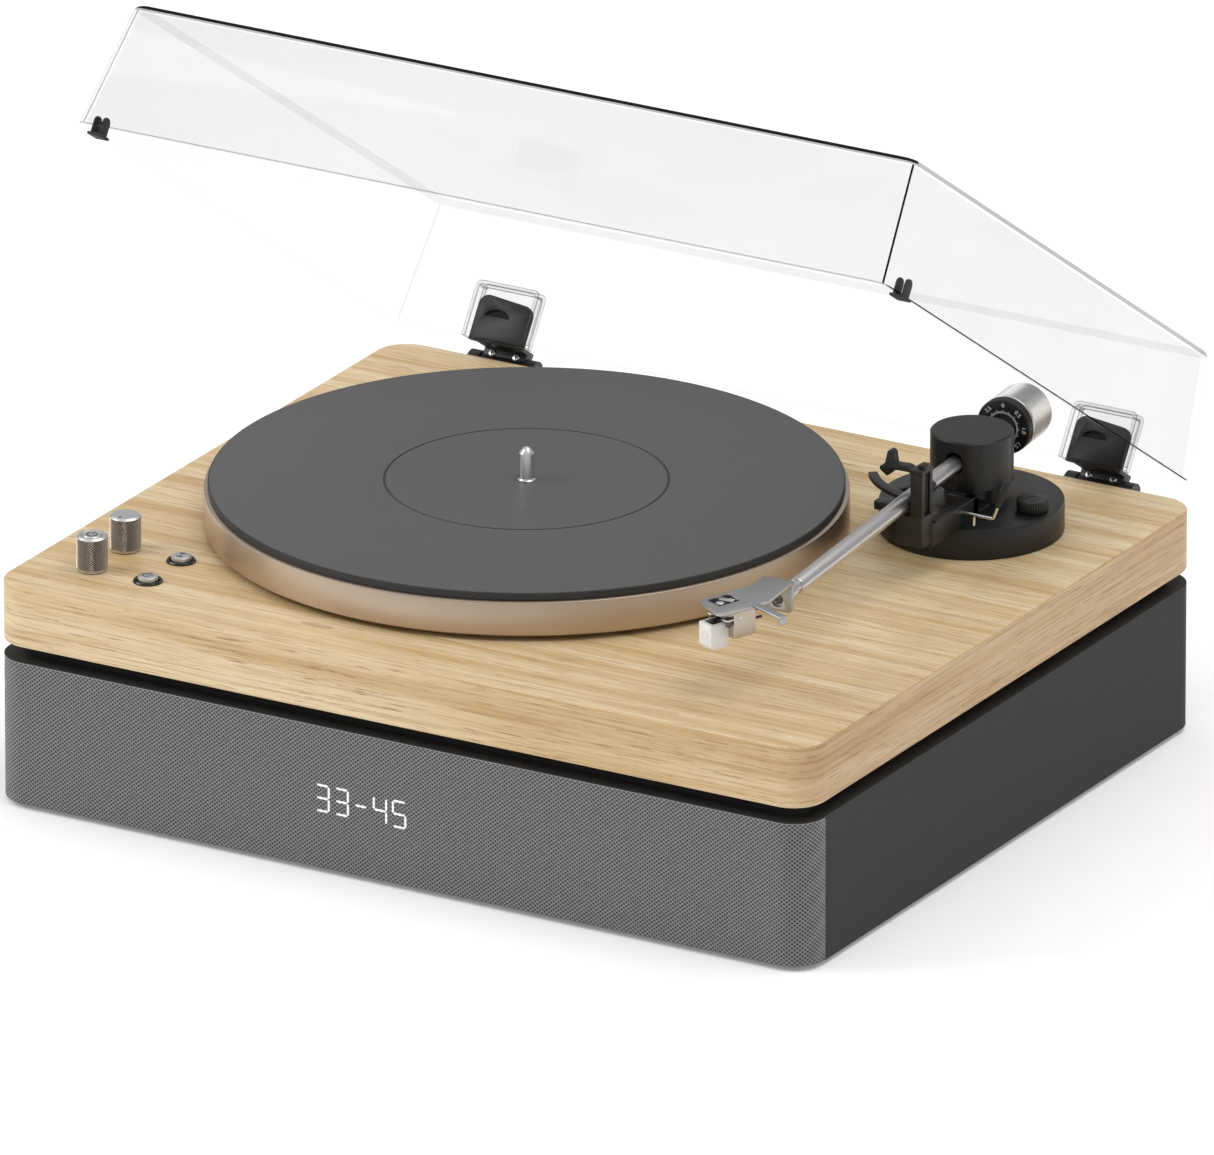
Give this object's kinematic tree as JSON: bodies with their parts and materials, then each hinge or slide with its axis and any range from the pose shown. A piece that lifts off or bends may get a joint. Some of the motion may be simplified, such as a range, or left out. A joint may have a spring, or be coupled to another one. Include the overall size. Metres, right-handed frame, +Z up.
{
  "type": "turntable record player",
  "caption": "Belt-drive record player in a wooden plinth on a cloth-fronted speaker cabinet, with a balanced tonearm and a hinged clear dust cover standing open.",
  "frame": {"origin": "middle of the cabinet's footprint, on the plane its feet stand on", "axes": "+X to the player's right, +Y to its back, +Z up"},
  "size_m": [0.434, 0.396, 0.3598],
  "materials": {
    "dark_panel": "satin laminate",
    "black_plastic": "fine moulded",
    "fibreboard": "raw fibreboard",
    "black_cloth": "woven",
    "black_rubber": "matt",
    "dark_mat": "satin",
    "light_wood": "satin lacquer",
    "champagne_aluminium": "turned and anodised",
    "paper_cone": "pressed paper",
    "ferrite": "ground",
    "circuit_board": "solder mask",
    "satin_silver": "bead blasted and anodised",
    "polished_steel": "polished",
    "brass_bearing": "turned",
    "sub_platter_plastic": "moulded",
    "beige_plastic": "moulded",
    "clear_acrylic": "clear, polished"
  },
  "bodies": {
    "base": {"cabinet_body": "dark_panel", "bottom_panel": "black_plastic", "rubber_feet": "black_rubber", "front_baffle": "fibreboard", "grille_cloth": "black_cloth", "grille_frame": "dark_panel", "display_module": "black_plastic", "speaker_basket_left": "black_plastic", "speaker_basket_right": "black_plastic", "speaker_cone_left": "paper_cone", "speaker_cone_right": "paper_cone", "speaker_magnets": "ferrite", "amplifier_board": "circuit_board", "rear_panel": "black_plastic", "rca_sockets": "brass_bearing", "aux_socket": "black_plastic", "power_inlet": "black_plastic", "panel_screws": "polished_steel", "riser_frame": "black_plastic", "wood_plinth": "light_wood", "button_bezels": "black_plastic", "control_board": "circuit_board", "bearing_sleeve": "brass_bearing", "motor": "polished_steel", "drive_belt": "black_rubber", "tonearm_base": "black_plastic", "arm_rest": "black_plastic", "hinge_brackets": "black_plastic", "hinge_pins": "polished_steel"},
    "platter_assembly": {"spindle": "polished_steel", "sub_platter": "sub_platter_plastic", "platter": "champagne_aluminium", "platter_mat": "dark_mat"},
    "pulley": {"motor_pulley": "brass_bearing"},
    "volume_knob": {"power_volume_knob": "satin_silver"},
    "power_button": {"power_button": "satin_silver"},
    "tone_knob": {"tone_knob": "satin_silver"},
    "input_button": {"input_button": "satin_silver"},
    "mode_button": {"mode_button": "satin_silver"},
    "antiskate_knob": {"antiskate_knob": "black_plastic"},
    "cue_lever": {"cue_lever": "polished_steel"},
    "cue_lift": {"cue_lift": "black_plastic"},
    "arm_clip": {"arm_clip": "black_plastic"},
    "arm_turret": {"arm_yoke": "brass_bearing", "bearing_housing": "black_plastic"},
    "tonearm": {"pivot_block": "brass_bearing", "pivot_pins": "polished_steel", "arm_tube": "satin_silver", "counterweight_shaft": "satin_silver", "headshell": "satin_silver", "cartridge_body": "beige_plastic", "stylus_unit": "beige_plastic", "cartridge_pins": "brass_bearing", "cartridge_screws": "brass_bearing"},
    "weight_sleeve": {"weight_sleeve": "black_plastic"},
    "counterweight": {"counterweight": "polished_steel"},
    "force_dial": {"force_dial": "black_plastic"},
    "cover": {"dust_cover": "clear_acrylic", "hinge_tongues": "black_plastic", "cover_bumpers": "black_rubber"}
  },
  "joints": [
    {"name": "platter_spin", "type": "hinge", "parent": "base", "child": "platter_assembly", "pos_m": [-0.039, 0.002, 0.12], "axis": [0, 0, -1], "continuous": true},
    {"name": "motor_pulley_spin", "type": "hinge", "parent": "base", "child": "pulley", "pos_m": [-0.094, 0.076, 0.118], "axis": [0, 0, -1], "continuous": true},
    {"name": "volume_turn", "type": "hinge", "parent": "base", "child": "volume_knob", "pos_m": [-0.184, -0.148, 0.12], "axis": [0, 0, -1], "range_deg": [-140, 140]},
    {"name": "power_press", "type": "slide", "parent": "volume_knob", "child": "power_button", "axis": [0, 0, -1], "range_m": [0, 0.0006], "stiffness_N_per_m": 600, "springref_m": -0.0008},
    {"name": "tone_turn", "type": "hinge", "parent": "base", "child": "tone_knob", "pos_m": [-0.184, -0.118, 0.12], "axis": [0, 0, -1], "range_deg": [-140, 140]},
    {"name": "input_press", "type": "slide", "parent": "base", "child": "input_button", "axis": [0, 0, -1], "range_m": [0, 0.001], "stiffness_N_per_m": 600, "springref_m": -0.0008},
    {"name": "mode_press", "type": "slide", "parent": "base", "child": "mode_button", "axis": [0, 0, -1], "range_m": [0, 0.001], "stiffness_N_per_m": 600, "springref_m": -0.0008},
    {"name": "antiskate_turn", "type": "hinge", "parent": "base", "child": "antiskate_knob", "pos_m": [0.1738, 0.1022, 0.128], "axis": [0, 0, -1], "range_deg": [0, 270]},
    {"name": "cue_lever_turn", "type": "hinge", "parent": "base", "child": "cue_lever", "pos_m": [0.165, 0.0691, 0.1314], "axis": [1, 0, 0], "range_deg": [0, 40]},
    {"name": "cue_lift_rise", "type": "slide", "parent": "base", "child": "cue_lift", "axis": [0, 0, 1], "range_m": [0, 0.003]},
    {"name": "arm_clip_turn", "type": "hinge", "parent": "base", "child": "arm_clip", "pos_m": [0.1536, 0.041, 0.153], "axis": [0, 1, 0], "range_deg": [-24, 20]},
    {"name": "arm_swing", "type": "hinge", "parent": "base", "child": "arm_turret", "pos_m": [0.141, 0.103, 0.12], "axis": [0, 0, -1], "range_deg": [0, 53]},
    {"name": "arm_lift", "type": "hinge", "parent": "arm_turret", "child": "tonearm", "pos_m": [0.141, 0.103, 0.148], "axis": [-0.9976, -0.0698, 0], "range_deg": [0, 4.5]},
    {"name": "counterweight_travel", "type": "slide", "parent": "tonearm", "child": "weight_sleeve", "axis": [-0.0698, 0.9975, 0.0122], "range_m": [-0.0041, 0.0041]},
    {"name": "counterweight_turn", "type": "hinge", "parent": "weight_sleeve", "child": "counterweight", "pos_m": [0.13758, 0.15188, 0.1486], "axis": [-0.0698, 0.9975, 0.0122], "range_deg": [-720, 720]},
    {"name": "force_dial_turn", "type": "hinge", "parent": "weight_sleeve", "child": "force_dial", "pos_m": [0.13849, 0.13891, 0.14844], "axis": [-0.0698, 0.9975, 0.0122], "range_deg": [-360, 360]},
    {"name": "cover_hinge", "type": "hinge", "parent": "base", "child": "cover", "pos_m": [0, 0.1908, 0.1047], "axis": [-1, 0, 0], "range_deg": [-33.6, 26.4]}
  ],
  "couplings": [
    {"joint": "motor_pulley_spin", "follows": "platter_spin", "ratio": 10},
    {"joint": "cue_lever_turn", "follows": "cue_lift_rise", "rad_per_m": 232.5},
    {"joint": "counterweight_travel", "follows": "counterweight_turn", "m_per_rad": 0.00031831}
  ]
}
